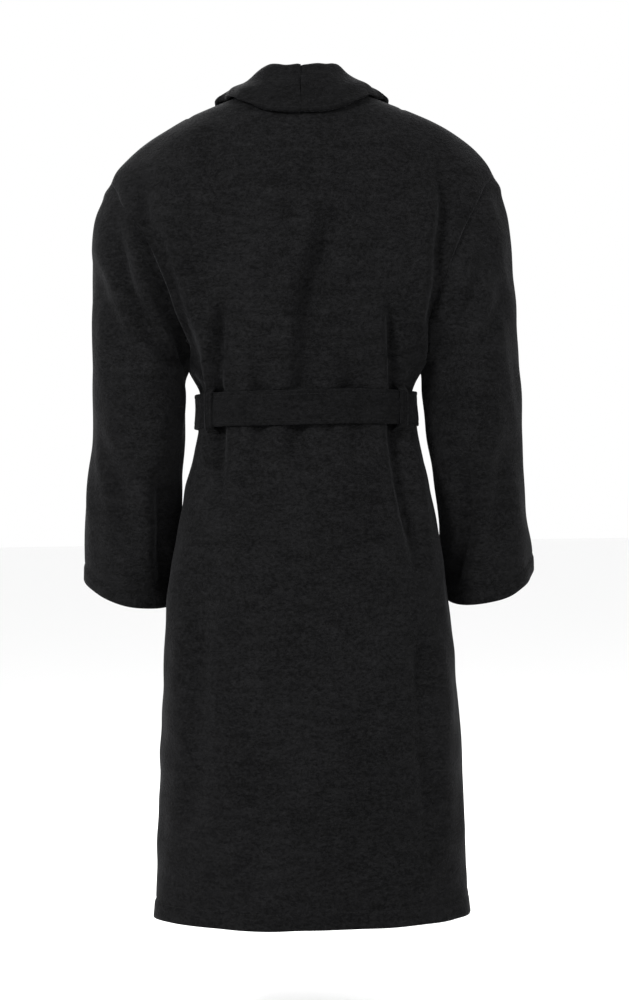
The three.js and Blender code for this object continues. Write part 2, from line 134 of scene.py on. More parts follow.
def spread(points, count, axis):
    """A grid of points laid out again at even distances along one of its two axes."""
    grid = np.moveaxis(points, axis, 0)
    steps = np.linalg.norm(np.diff(grid, axis=0), axis=-1)
    length = np.concatenate([np.zeros((1, grid.shape[1])), np.cumsum(steps, axis=0)])
    out = np.empty((count, grid.shape[1], 3))
    for k in range(grid.shape[1]):
        where = np.linspace(0, length[-1, k], count)
        for c in range(3):
            out[:, k, c] = np.interp(where, length[:, k], grid[:, k, c])
    return np.moveaxis(out, 0, axis)


def across_and_down(points, ring):
    if ring:
        across = np.roll(points, -1, axis=1) - np.roll(points, 1, axis=1)
    else:
        across = np.gradient(points, axis=1)
    return np.cross(across, np.gradient(points, axis=0))


def winding(points, ring=False):
    """1 if the grid's own normals point away from its middle, and -1 if they point in."""
    middle = points.mean(axis=1, keepdims=True) if ring else points * [0, 0, 1]
    return float(np.sign(np.sum(across_and_down(points, ring) * (points - middle))))


def grid_normals(points, ring=False):
    """Outward unit normals of a grid of points on the body or on a tube."""
    normals = across_and_down(points, ring) * winding(points, ring)
    return normals / np.maximum(np.linalg.norm(normals, axis=-1, keepdims=True), 1e-12)


def smooth_line(points, count):
    """A Catmull-Rom curve through given points."""
    p = np.array(points, float)
    p = np.vstack([2 * p[0] - p[1], p, 2 * p[-1] - p[-2]])
    u = np.linspace(0, len(p) - 3 - 1e-9, count)
    i = u.astype(int)
    t = (u - i)[:, None]
    a, b, c, d = p[i], p[i + 1], p[i + 2], p[i + 3]
    return 0.5 * (2 * b + (c - a) * t + (2 * a - 5 * b + 4 * c - d) * t ** 2
                  + (3 * b - a - 3 * c + d) * t ** 3)


def trace(points, a, b, count=40):
    """Signed distance from a drawn line, positive on its +a side, and the share of the way along it."""
    line = smooth_line(points, count)
    best = np.full(a.shape, 1e9)
    side = np.ones(a.shape)
    share = np.zeros(a.shape)
    for k, (p, q) in enumerate(zip(line, line[1:])):
        d = q - p
        s = np.clip(((a - p[0]) * d[0] + (b - p[1]) * d[1]) / (d @ d), 0, 1)
        off_a, off_b = a - p[0] - s * d[0], b - p[1] - s * d[1]
        distance = np.hypot(off_a, off_b)
        closer = distance < best
        best = np.where(closer, distance, best)
        side = np.where(closer, np.sign(d[0] * off_b - d[1] * off_a), side)
        share = np.where(closer, (k + s) / (count - 1), share)
    return best * side, share


def fold(a, b, points, depth, width, bank=0.0, fade=(0.2, 0.2)):
    """A crease of some depth along a drawn line, with a ridge beside it on its +a or -a side."""
    distance, share = trace(points, a, b)
    ends = smooth(share / fade[0]) * smooth((1 - share) / fade[1])
    side = np.sign(bank) if bank else 1
    ridge = abs(bank) * bump(distance - side * 1.9 * width, 1.3 * width)
    return (ridge - depth * bump(distance, width)) * ends


# ------------------------------------------------------------------ the body of the robe

BELT_TOP, BELT_BOTTOM = BELT_HIGH.z, BELT_LOW.z
side_width = stations((ARMPIT[1], ARMPIT[0]), (BELT_TOP, WAIST_X), (BELT_BOTTOM, WAIST_X + 0.001),
                      (mix(BELT_BOTTOM, HIP_Z, 0.35), mix(WAIST_X, HIP_X, 0.5)), (HIP_Z, HIP_X),
                      (mix(HIP_Z, HEM_Z, 0.5), mix(HIP_X, HEM_X, 0.75)), (HEM_Z, HEM_X))
back_depth = stations((0, 0.6 * BACK_DEPTH), (0.5 * SHOULDER[1], 0.8 * BACK_DEPTH),
                      (1.4 * SHOULDER[1], BACK_DEPTH), (mix(SHOULDER[1], ARMPIT[1], 0.7), BACK_DEPTH),
                      (BELT_TOP, WAIST_DEPTH), (BELT_BOTTOM, WAIST_DEPTH),
                      (mix(BELT_BOTTOM, HIP_Z, 0.5), mix(WAIST_DEPTH, HEM_DEPTH, 0.6)), (HEM_Z, HEM_DEPTH))
front_depth = stations((0, 0.54 * FRONT_DEPTH), (0.5 * SHOULDER[1], 0.74 * FRONT_DEPTH),
                       (1.7 * SHOULDER[1], FRONT_DEPTH), (ARMPIT[1], FRONT_DEPTH),
                       (BELT_TOP, WAIST_DEPTH), (BELT_BOTTOM, WAIST_DEPTH),
                       (mix(BELT_BOTTOM, HIP_Z, 0.5), mix(WAIST_DEPTH, HEM_DEPTH, 0.6)), (HEM_Z, HEM_DEPTH))


def shoulder_line(x):
    t = np.clip((x - NECK_X) / (SHOULDER[0] - NECK_X), 0, 1)
    return SHOULDER[1] * (SHOULDER_SLOPE * t + (1 - SHOULDER_SLOPE) * t ** 4)


def shoulder_width(z):
    """How far out the shoulder line reaches at a height."""
    x = np.linspace(NECK_X, SHOULDER[0], 400)
    return np.interp(-np.asarray(z), -shoulder_line(x), x)


def down_armhole(z):
    return np.clip((z - SHOULDER[1]) / (ARMPIT[1] - SHOULDER[1]), 0, 1)


def panel_width(z):
    """Half-width of the panels: the shoulder, the bowed armhole seam, then the side seam."""
    t = down_armhole(z)
    armhole = mix(SHOULDER[0], ARMPIT[0], t) - ARMHOLE_BOW * np.sin(math.pi * t)
    return np.where(z > ARMPIT[1], armhole, side_width(z))


def section(z):
    """The half-width, the depth of its flat edge and the roundness of the robe's outline at a height."""
    width = np.where(z > SHOULDER[1], shoulder_width(z), panel_width(z))
    reach = ARMHOLE_DEPTH * np.sqrt(np.clip(1 - (2 * down_armhole(z) - 1) ** 2, 0, 1))
    return width, reach, mix(1 / SECTION_ROUND, 1, reach / ARMHOLE_DEPTH)


def body_point(side, x, z):
    """A point on the inside of the cloth, behind (side 1) or in front of (side -1) the middle."""
    deep = back_depth(z) if side > 0 else front_depth(z)
    width, reach, power = section(z)
    inside = np.clip(1 - np.abs(x / width) ** SECTION_ROUND, 0, 1)
    y = reach + (deep - reach) * inside ** power
    return np.stack(np.broadcast_arrays(x, side * y, z), axis=-1)


def outsideness(side, points):
    """Zero on the inside of the cloth and growing outwards from it."""
    x, y, z = points[..., 0], side * points[..., 1], points[..., 2]
    deep = back_depth(z) if side > 0 else front_depth(z)
    width, reach, power = section(z)
    behind = (y - reach) / (deep - reach)
    return np.abs(x / width) ** SECTION_ROUND + np.sign(behind) * np.abs(behind) ** (1 / power)


def body_normals(side, points):
    """Unit normals out of the body of the robe."""
    step = 0.0005
    slope = [outsideness(side, points + way) - outsideness(side, points - way) for way in np.eye(3) * step]
    normals = np.stack(slope, axis=-1)
    return normals / np.maximum(np.linalg.norm(normals, axis=-1, keepdims=True), 1e-12)


def on_body(side, x, z, out):
    """A point at a distance out from the inside of the cloth."""
    x, z, out = np.broadcast_arrays(np.asarray(x, float), z, out)
    points = body_point(side, x, z)
    return points + body_normals(side, points) * out[..., None]


def relaxed(points, share, times=14):
    """The inner points of a grid eased towards their neighbours, where share is above zero."""
    points = points.copy()
    for _ in range(times):
        around = (points[:-2, 1:-1] + points[2:, 1:-1] + points[1:-1, :-2] + points[1:-1, 2:]) / 4
        points[1:-1, 1:-1] += (around - points[1:-1, 1:-1]) * 0.7 * share[1:-1, 1:-1, None]
    return points


def front_edge(z):
    upper = mix(NECK_X, -WRAP_X, z / BELT_TOP)
    lower = mix(-WRAP_X, -WRAP_HEM_X, (z - BELT_TOP) / (HEM_Z - BELT_TOP))
    return np.where(z > BELT_TOP, upper, lower)


def wrap_lift(x, z):
    return (WRAP_LIFT * smooth((z - SHOULDER[1] / 2) / (1.1 * SHOULDER[1]))
            * (1 - smooth((np.abs(x) - WRAP_HEM_X - 0.006) / 0.05)))


YOKE_Z = 2 * SHOULDER[1]        # from here down the rows of a panel's grid lie level


def panel_grid(side, share, top, edge):
    """A panel's points, from its top edge to the hem; edge is where its first column lies."""
    upper = top + (YOKE_Z - top) * np.linspace(0, 1, 500)[:, None] ** 2.2
    lower = np.linspace(YOKE_Z, HEM_Z, 196)[:, None]
    lay = lambda z: body_point(side, mix(edge(z), panel_width(z), share[None, :]), z)
    upper = spread(lay(upper), 58, 0)
    return np.concatenate([upper[:-1], lay(lower + 0 * share[None, :])])


def back_grid():
    share = np.sin(np.linspace(-0.5, 0.5, 420) * math.pi)
    x = share * SHOULDER[0]
    top = shoulder_line(np.abs(x)) - NECK_DIP * np.maximum(1 - (x / NECK_X) ** 2, 0) ** 2
    return spread(panel_grid(1, (share + 1) / 2, top, lambda z: -panel_width(z)), 150, 1)


def front_grid():
    """The left front, from its free edge to the side seam."""
    share = np.sin(np.linspace(0, 0.5, 300) * math.pi)
    top = np.zeros_like(share)
    for _ in range(60):
        top = shoulder_line(mix(front_edge(top), SHOULDER[0], share))
    return spread(panel_grid(-1, share, top, front_edge), 100, 1)


# ------------------------------------------------------------------ folds in the cloth

def near_belt(z, reach):
    return np.exp(-np.maximum(np.maximum(z - BELT_TOP, BELT_BOTTOM - z), 0) / reach)


def hem_roll(z):
    """The doubled cloth of the hem and the groove where it is stitched."""
    above = z - HEM_Z
    return 0.0016 * smooth((HEM_FOLD + 0.002 - above) / 0.003) - 0.0016 * bump(above - HEM_FOLD, 0.0022)


BACK_FOLD_DEPTH, SLEEVE_FOLD_DEPTH = 1.3, 1.5       # times the depths listed for each fold
BACK_FOLDS = [
    # the long soft fold that falls from between the shoulder blades to the belt
    ([(-0.034, -0.165), (-0.028, -0.215), (-0.014, -0.262), (-0.003, -0.32), (0.008, -0.43)],
     0.0125, 0.014, 0.003, (0.35, 0.05)),
    ([(0.012, -0.455), (0.012, -0.50), (-0.01, -0.55), (-0.03, -0.62)], 0.008, 0.013, 0.002, (0.05, 0.6)),
    # beside the armholes, wearer's left
    ([(0.228, -0.09), (0.222, -0.17), (0.208, -0.24), (0.182, -0.33), (0.160, -0.385)],
     0.010, 0.011, 0.004, (0.2, 0.15)),
    ([(0.214, -0.15), (0.196, -0.215), (0.172, -0.30), (0.150, -0.375), (0.140, -0.43)],
     0.008, 0.011, -0.004, (0.3, 0.1)),
    # beside the armholes, wearer's right
    ([(-0.190, -0.055), (-0.192, -0.12), (-0.196, -0.165), (-0.187, -0.225), (-0.184, -0.275),
      (-0.170, -0.35)], 0.011, 0.010, 0.004, (0.3, 0.1)),
    ([(-0.236, -0.17), (-0.218, -0.25), (-0.198, -0.32), (-0.172, -0.378)], 0.006, 0.010, -0.003, (0.3, 0.15)),
    # straight folds over and under the belt, at the loops
    ([(0.112, -0.27), (0.116, -0.33), (0.119, -0.43)], 0.009, 0.0075, 0.004, (0.6, 0.03)),
    ([(-0.114, -0.28), (-0.118, -0.34), (-0.120, -0.43)], 0.010, 0.0070, 0.004, (0.6, 0.03)),
    ([(0.119, -0.455), (0.119, -0.52), (0.116, -0.60)], 0.009, 0.008, 0.004, (0.03, 0.7)),
    ([(-0.120, -0.455), (-0.127, -0.53), (-0.143, -0.62), (-0.160, -0.71)], 0.012, 0.010, -0.006, (0.03, 0.5)),
    # short gathers at the belt
    ([(0.062, -0.34), (0.066, -0.43)], 0.005, 0.010, 0.002, (0.7, 0.05)),
    ([(-0.058, -0.35), (-0.062, -0.43)], 0.0045, 0.009, -0.002, (0.7, 0.05)),
    ([(0.066, -0.455), (0.064, -0.55)], 0.0045, 0.010, 0.002, (0.05, 0.7)),
    ([(-0.066, -0.455), (-0.07, -0.56)], 0.005, 0.010, 0.002, (0.05, 0.7)),
    ([(-0.03, -0.455), (-0.032, -0.51)], 0.0035, 0.008, 0.001, (0.05, 0.7)),
    # the dark hollows near the sides of the skirt
    ([(-0.160, -0.70), (-0.152, -0.80), (-0.154, -0.92), (-0.158, -1.03), (-0.160, -1.12)],
     0.008, 0.014, -0.005, (0.25, 0.5)),
    ([(0.150, -0.62), (0.152, -0.76), (0.158, -0.92), (0.168, -1.08)], 0.006, 0.015, 0.005, (0.4, 0.5)),
    ([(0.095, -0.60), (0.090, -0.75), (0.095, -0.95)], 0.0035, 0.020, 0.0, (0.4, 0.6)),
    ([(-0.065, -0.66), (-0.075, -0.85), (-0.07, -1.02)], 0.003, 0.022, 0.0, (0.4, 0.5)),
]

NECK_LINE = [(0.158, -0.028), (0.145, -0.052), (0.118, -0.092), (0.088, -0.118), (0.050, -0.137),
             (0.0, -0.146), (-0.046, -0.140), (-0.080, -0.122), (-0.106, -0.095), (-0.132, -0.048),
             (-0.140, -0.022)]


def seam_fade(points):
    """The folds die away at the shoulder and side seams, where the panels meet."""
    return smooth((np.abs(points[..., 1]) - 0.002) / 0.028)


def rear_waves(grid):
    """How far the cloth behind stands out from its plain shape, on the back and on the sleeves."""
    x, z = grid[..., 0], grid[..., 2]
    height = BACK_FOLD_DEPTH * sum(fold(x, z, *shape) for shape in BACK_FOLDS)
    loose = np.maximum(smooth((BELT_BOTTOM - z) / 0.25), smooth((z - BELT_TOP) / 0.08))
    height += 0.0035 * drift(grid * [1, 1, 0.45], 0.16, 3) * loose
    return (height + 0.0012 * drift(grid * [1, 1, 0.7], 0.055, 4)) * smooth((-0.02 - z) / 0.05)


def back_height(grid):
    """How far the back stands out from its plain shape."""
    x, z = grid[..., 0], grid[..., 2]
    height = rear_waves(grid)
    height += 0.0018 * near_belt(z, 0.03) * drift(grid * [1, 1, 0.05], 0.035, 5)
    height += 0.005 * bump(z - BELT_TOP - 0.045, 0.03) * bump(x, 0.16)
    height = height * seam_fade(grid) - 0.002 * bump(grid[..., 1], 0.003)
    distance, _ = trace(NECK_LINE, x, z, 80)
    height -= 0.0018 * bump(distance, 0.0028) + 0.0025 * bump(panel_width(z) - np.abs(x), 0.004)
    height += hem_roll(z)
    return np.minimum(height, mix(0.02, 0.0005, near_belt(z, 0.006)))


FRONT_FOLDS = [
    ([(0.235, -0.10), (0.222, -0.20), (0.196, -0.30), (0.160, -0.38)], 0.010, 0.012, 0.004, (0.2, 0.15)),
    ([(0.200, -0.17), (0.180, -0.27), (0.140, -0.37), (0.110, -0.43)], 0.008, 0.012, 0.004, (0.3, 0.05)),
    ([(0.150, -0.22), (0.125, -0.32), (0.090, -0.43)], 0.006, 0.012, -0.003, (0.4, 0.05)),
    ([(0.050, -0.455), (0.070, -0.56), (0.100, -0.72)], 0.008, 0.011, 0.004, (0.03, 0.6)),
    ([(0.090, -0.455), (0.120, -0.58), (0.150, -0.80)], 0.009, 0.013, 0.004, (0.03, 0.6)),
    ([(0.125, -0.455), (0.150, -0.55), (0.170, -0.66)], 0.006, 0.010, 0.003, (0.03, 0.6)),
    ([(0.030, -0.56), (0.045, -0.80), (0.050, -1.08)], 0.005, 0.022, 0.002, (0.3, 0.3)),
    ([(0.125, -0.80), (0.135, -0.95), (0.140, -1.10)], 0.007, 0.018, 0.003, (0.3, 0.3)),
]


def fore_waves(grid):
    """How far the cloth in front stands out, on the fronts and on the sleeves."""
    x, z = grid[..., 0], grid[..., 2]
    height = sum(fold(np.abs(x), z, *shape) for shape in FRONT_FOLDS)
    loose = np.maximum(smooth((BELT_BOTTOM - z) / 0.25), smooth((z - BELT_TOP) / 0.08))
    height += 0.003 * drift(grid * [1, 1, 0.45], 0.15, 11) * loose
    return height + 0.0011 * drift(grid * [1, 1, 0.7], 0.055, 12)


def front_height(x, z, sign):
    """How far a front stands out from its plain shape; x is measured towards its own side."""
    plain = body_point(-1, x, z)
    height = fore_waves(plain * [sign, 1, 1])
    under_tails = smooth((0.08 - x) / 0.02) * smooth((z + 0.92) / 0.03)
    under_collar = smooth((front_edge(z) + LAPEL + 0.02 - x) / 0.02) * (z > BELT_BOTTOM)
    height = np.minimum(height, mix(0.02, 0.0012, np.maximum(under_tails, under_collar)))
    height = height * seam_fade(plain) * smooth((x - front_edge(z)) / 0.02)
    height -= 0.002 * bump(plain[..., 1], 0.003)
    height -= 0.0025 * bump(panel_width(z) - x, 0.004)
    height += hem_roll(z)
    return np.minimum(height, mix(0.02, 0.0005, near_belt(z, 0.006)))


def on_back(x, z, out=0.0):
    """A point at a distance out from the outer side of the back."""
    x, z = np.broadcast_arrays(np.asarray(x, float), np.asarray(z, float))
    return on_body(1, x, z, CLOTH + back_height(body_point(1, x, z)) + out)


def on_front(x, z, sign, out=0.0):
    """A point at a distance out from the outer side of a front; x towards the front's own side."""
    x, z = np.broadcast_arrays(np.asarray(x, float), np.asarray(z, float))
    lift = wrap_lift(x, z) if sign > 0 else 0
    return on_body(-1, x, z, CLOTH + front_height(x, z, sign) + lift + out) * [sign, 1, 1]


# ------------------------------------------------------------------ making pieces

def link(name, mesh):
    piece = bpy.data.objects.new(name, mesh)
    bpy.context.scene.collection.objects.link(piece)
    return piece


def new_mesh(name, points, faces):
    mesh = bpy.data.meshes.new(name)
    mesh.from_pydata([tuple(p) for p in points], [], faces)
    mesh.polygons.foreach_set("use_smooth", [True] * len(mesh.polygons))
    mesh.update()
    return mesh


def grid_faces(rows, columns, ring=False):
    across = columns if ring else columns - 1
    return [(j * columns + i, j * columns + (i + 1) % columns,
             (j + 1) * columns + (i + 1) % columns, (j + 1) * columns + i)
            for j in range(rows - 1) for i in range(across)]


def cloth_piece(name, points, material, thick=CLOTH, ring=False):
    """A cloth piece whose outer side is a grid of points; its thickness goes inwards."""
    faces = grid_faces(*points.shape[:2], ring)
    if winding(points, ring) < 0:
        faces = [face[::-1] for face in faces]
    piece = link(name, new_mesh(name, points.reshape(-1, 3), faces))
    body = piece.modifiers.new("Thickness", "SOLIDIFY")
    body.thickness = thick
    body.offset = -1
    piece.data.materials.append(material)
    return piece


def tube_piece(name, points, material):
    """A closed piece: a ring of points swept along, with both ends capped."""
    rows, columns = points.shape[:2]
    faces = grid_faces(rows, columns, True)
    faces += [tuple(reversed(range(columns))), tuple((rows - 1) * columns + i for i in range(columns))]
    if winding(points, True) < 0:
        faces = [face[::-1] for face in faces]
    piece = link(name, new_mesh(name, points.reshape(-1, 3), faces))
    piece.data.materials.append(material)
    return piece


def sewn(piece, body, nodes=()):
    """Parents a piece to the body it rides on, and hides the imported parts it takes the place of."""
    if body:
        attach(piece, body)
    if nodes:
        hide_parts(*nodes)
    return piece


def stitch_row(name, path, normals, body, material, gap=STITCH, radius=0.00036):
    """Separate stitches along a line on the cloth, each a short thread that dips in at both ends."""
    path, normals = np.asarray(path), np.asarray(normals)
    steps = np.linalg.norm(np.diff(path, axis=0), axis=1)
    length = np.r_[0, np.cumsum(steps)]
    count = max(int(length[-1] / gap), 1)
    points, faces = [], []
    sides, rings = 5, 5
    for k in range(count):
        where = (k + 0.5 + np.linspace(-0.36, 0.36, rings)) * gap
        line = np.stack([np.interp(where, length, path[:, c]) for c in range(3)], axis=1)
        up = np.array([np.interp(where[rings // 2], length, normals[:, c]) for c in range(3)])
        up /= np.linalg.norm(up)
        along = line[-1] - line[0]
        along /= np.linalg.norm(along)
        across = np.cross(along, up)
        base = len(points)
        for r in range(rings):
            lift = 0.9 * math.sin(math.pi * r / (rings - 1)) - 0.5
            girth = 0.6 + 0.4 * math.sin(math.pi * r / (rings - 1))
            for s in range(sides):
                turn = 2 * math.pi * s / sides
                points.append(line[r] + up * radius * (lift + girth * math.sin(turn))
                              + across * radius * girth * math.cos(turn))
        for r in range(rings - 1):
            for s in range(sides):
                t = (s + 1) % sides
                faces.append((base + r * sides + s, base + r * sides + t,
                              base + (r + 1) * sides + t, base + (r + 1) * sides + s))
        faces.append(tuple(base + s for s in reversed(range(sides))))
        faces.append(tuple(base + (rings - 1) * sides + s for s in range(sides)))
    piece = link(name, new_mesh(name, points, faces))
    piece.data.materials.append(material)
    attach(piece, body)
    return piece


def row_at(points, distance):
    """The line across a grid at a distance from its last row."""
    steps = np.linalg.norm(np.diff(points[::-1], axis=0), axis=-1)
    length = np.concatenate([np.zeros((1, points.shape[1])), np.cumsum(steps, axis=0)])
    line = np.empty((points.shape[1], 3))
    for k in range(points.shape[1]):
        for c in range(3):
            line[k, c] = np.interp(distance, length[:, k], points[::-1][:, k, c])
    return line


# ------------------------------------------------------------------ materials

class Socket:
    """A shader value that can be written in Python sums."""

    def __init__(self, tree, link_from):
        self.tree, self.link = tree, link_from

    def _math(self, operation, *values):
        return self.tree.node("ShaderNodeMath", {"operation": operation}, dict(enumerate(values)))

    def __add__(self, other):
        return self._math("ADD", self, other)

    def __mul__(self, other):
        return self._math("MULTIPLY", self, other)

    def __sub__(self, other):
        return self._math("SUBTRACT", self, other)

    def __rsub__(self, other):
        return self._math("SUBTRACT", other, self)

    __radd__, __rmul__ = __add__, __mul__


class Finish:
    """A material's node tree."""

    def __init__(self, name):
        self.material = bpy.data.materials.new(name)
        self.material.use_nodes = True
        self.nodes = self.material.node_tree.nodes
        self.links = self.material.node_tree.links
        self.shader = self.nodes["Principled BSDF"]

    def node(self, kind, settings, values, output=0):
        made = self.nodes.new(kind)
        for name, value in settings.items():
            if name == "stops":
                for stop, (place, colour) in zip(made.color_ramp.elements, value):
                    stop.position, stop.color = place, colour
            else:
                setattr(made, name, value)
        for name, value in values.items():
            self.put(made.inputs[name], value)
        return Socket(self, made.outputs[output])

    def put(self, socket, value):
        if isinstance(value, Socket):
            self.links.new(value.link, socket)
        else:
            socket.default_value = value

    def set(self, **values):
        for name, value in values.items():
            self.put(self.shader.inputs[name.replace("_", " ")], value)


def grain(finish, where, scale, detail, stretch=(1, 1, 1), rough=0.6):
    """Noise in the object's own space, stretched along an axis if wanted."""
    placed = finish.node("ShaderNodeMapping", {}, {"Vector": where, "Scale": stretch})
    return finish.node("ShaderNodeTexNoise", {}, {"Vector": placed, "Scale": scale, "Detail": detail,
                                                  "Roughness": rough})


def terry(name, dark, light, pile=0.0022):
    """Cut-pile cotton terry: a soft, mottled, very matt pile with a faint bloom at the edges."""
    finish = Finish(name)
    where = finish.node("ShaderNodeTexCoord", {}, {}, "Object")
    tufts = grain(finish, where, 480, 2, (1, 1, 1.2))
    clumps = grain(finish, where, 210, 3, (0.8, 0.8, 1.3))
    brushed = grain(finish, where, 60, 4, (0.45, 0.45, 1.5))
    cloudy = grain(finish, where, 9, 3, (1, 1, 0.6))
    shade = tufts * 0.35 + clumps * 0.50 + brushed * 0.22 + cloudy * 0.12 - 0.095
    colour = finish.node("ShaderNodeValToRGB", {"stops": [(0.40, (*dark, 1)), (0.70, (*light, 1))]},
                         {0: shade})
    height = tufts * 0.4 + clumps * 0.9 + brushed * 0.5
    raised = finish.node("ShaderNodeBump", {}, {"Height": height, "Distance": pile, "Strength": 0.9})
    finish.set(Base_Color=colour, Roughness=clumps * 0.16 + 0.84, Normal=raised)
    finish.set(Sheen_Weight=0.035, Sheen_Roughness=0.35, Sheen_Tint=(0.78, 0.79, 0.84, 1),
               Specular_IOR_Level=0.07)
    return finish.material


def woven_tape(name, dark, light):
    """A narrow cotton tape: fine ribs across it."""
    finish = Finish(name)
    where = finish.node("ShaderNodeTexCoord", {}, {}, "Object")
    ribs = finish.node("ShaderNodeTexWave", {"wave_type": "BANDS", "bands_direction": "X"},
                       {"Vector": where, "Scale": 330, "Distortion": 0.6})
    cross = finish.node("ShaderNodeTexWave", {"wave_type": "BANDS", "bands_direction": "Z"},
                        {"Vector": where, "Scale": 260, "Distortion": 0.6})
    lint = grain(finish, where, 300, 3)
    shade = ribs * 0.4 + cross * 0.3 + lint * 0.3
    colour = finish.node("ShaderNodeValToRGB", {"stops": [(0.2, (*dark, 1)), (0.9, (*light, 1))]},
                         {0: shade})
    raised = finish.node("ShaderNodeBump", {}, {"Height": ribs * 0.6 + cross * 0.4,
                                                "Distance": 0.0003, "Strength": 0.8})
    finish.set(Base_Color=colour, Roughness=lint * 0.2 + 0.62, Normal=raised)
    finish.set(Sheen_Weight=0.15)
    return finish.material


def sewing_thread(name, dark, light):
    finish = Finish(name)
    where = finish.node("ShaderNodeTexCoord", {}, {}, "Object")
    twist = finish.node("ShaderNodeTexWave", {"wave_type": "BANDS", "bands_direction": "DIAGONAL"},
                        {"Vector": where, "Scale": 900})
    colour = finish.node("ShaderNodeValToRGB", {"stops": [(0.1, (*dark, 1)), (0.9, (*light, 1))]},
                         {0: twist})
    raised = finish.node("ShaderNodeBump", {}, {"Height": twist, "Distance": 0.0001, "Strength": 0.5})
    finish.set(Base_Color=colour, Roughness=twist * 0.1 + 0.70, Normal=raised)
    finish.set(Specular_IOR_Level=0.15)
    return finish.material


BLACK_TERRY = terry("black terry", (0.0006, 0.0006, 0.0007), (0.0080, 0.0080, 0.0085))
# The doubled pieces (collar, belt, loops, knot, tails, pockets) use a darker copy of the terry. Its lower
# colours are painted shade that stands in for how dark the collar falls under this light. The cloth itself is
# not that colour.
BLACK_TERRY_DOUBLED_PAINTED_SHADE = terry("black terry, two layers, painted shade", (0.0004, 0.0004, 0.0005), (0.0056, 0.0056, 0.0060))
BLACK_TERRY_INSIDE = terry("black terry, inside", (0.0006, 0.0006, 0.0007), (0.0065, 0.0065, 0.0070))
COTTON_TAPE = woven_tape("black cotton tape", (0.0015, 0.0015, 0.0016), (0.0080, 0.0080, 0.0085))
THREAD = sewing_thread("black sewing thread", (0.0015, 0.0015, 0.0016), (0.0055, 0.0055, 0.0058))


# ------------------------------------------------------------------ panels

def add_panels():
    """The back and the two fronts; gives back each plain grid and its finished outer side."""
    plain = back_grid()
    back = plain + body_normals(1, plain) * (CLOTH + back_height(plain))[..., None]
    back = relaxed(back, bump(plain[..., 2] - 1.05 * SHOULDER[1], 0.035))
    piece = cloth_piece("robe_back", back, BLACK_TERRY)
    sewn(piece, "robe_body", ["back_panel"])
    made = {"back": (plain, back)}
    for name, sign in (("left", 1), ("right", -1)):
        plain = front_grid()
        x, z = plain[..., 0], plain[..., 2]
        lift = wrap_lift(x, z) if sign > 0 else 0
        height = CLOTH + front_height(x, z, sign) + lift
        front = plain + body_normals(-1, plain) * height[..., None]
        front = relaxed(front, bump(z - 1.05 * SHOULDER[1], 0.035))
        piece = cloth_piece(f"robe_front_{name}", front * [sign, 1, 1], BLACK_TERRY)
        sewn(piece, "robe_body", [f"front_panel_{name}"])
        made[name] = (plain, front)
    return made


def add_facings():
    """The half-moon inside the back neck, the strips inside the front edges, and the stay tapes."""
    u, v = np.linspace(0, 1, 90)[None, :], np.linspace(0, 1, 40)[:, None]
    half = 0.150
    x = mix(-half, half, u) + 0 * v
    top = -NECK_DIP * np.maximum(1 - (x / NECK_X) ** 2, 0) ** 2 + shoulder_line(np.abs(x)) - 0.012
    low = mix(shoulder_line(half) - 0.024, -0.146, np.sqrt(1 - (x / half) ** 2))
    facing = on_back(x, mix(top, low, v), -CLOTH - 0.0006)
    piece = cloth_piece("neck_facing", facing, BLACK_TERRY_INSIDE, 0.0025)
    sewn(piece, "robe_body", ["back_neck_facing"])
    for name, sign in (("left", 1), ("right", -1)):
        z = mix(BELT_BOTTOM, HEM_Z + 0.003, np.linspace(0, 1, 130)[:, None])
        x = front_edge(z) + 0.002 + 0.050 * np.linspace(0, 1, 14)[None, :]
        strip = on_front(x, z + 0 * x, sign, -CLOTH - 0.0006)
        piece = cloth_piece(f"facing_strip_{name}", strip, BLACK_TERRY_INSIDE, 0.0025)
        sewn(piece, "robe_body", [f"front_facing_{name}"])
        x = np.linspace(NECK_X + 0.024, SHOULDER[0] - 0.020, 60)[None, :]
        across = np.linspace(-0.5, 0.5, 7)[:, None]
        tape = np.stack([sign * x + 0 * across, 0.008 * across + 0 * x,
                         shoulder_line(x) - 0.003 - 0.0003 * np.cos(9 * across) + 0 * across], axis=-1)
        piece = cloth_piece(f"stay_tape_{name}", tape[:, ::-1] if sign > 0 else tape, COTTON_TAPE, 0.0015)
        sewn(piece, "robe_body", [f"shoulder_tape_{name}"])


# ------------------------------------------------------------------ sleeves

SLEEVE_FOLDS = {
    1: [([(0.264, -0.15), (0.248, -0.24), (0.214, -0.33), (0.182, -0.39)], 0.009, 0.012, 0.003, (0.3, 0.1)),
        ([(0.296, -0.21), (0.272, -0.30), (0.228, -0.40)], 0.005, 0.014, 0.0, (0.4, 0.3)),
        ([(0.213, -0.50), (0.206, -0.59), (0.210, -0.70)], 0.008, 0.011, 0.003, (0.4, 0.1)),
        ([(0.285, -0.46), (0.262, -0.55), (0.255, -0.66)], 0.005, 0.020, 0.0, (0.4, 0.3))],
    -1: [([(-0.258, -0.17), (-0.238, -0.26), (-0.212, -0.34), (-0.184, -0.39)], 0.008, 0.012, 0.003, (0.3, 0.1)),
         ([(-0.290, -0.23), (-0.262, -0.33), (-0.222, -0.42)], 0.005, 0.014, 0.0, (0.4, 0.3)),
         ([(-0.214, -0.49), (-0.226, -0.59), (-0.206, -0.70)], 0.009, 0.012, -0.003, (0.4, 0.1)),
         ([(-0.296, -0.44), (-0.272, -0.54), (-0.262, -0.66)], 0.005, 0.020, 0.0, (0.4, 0.3))],
}


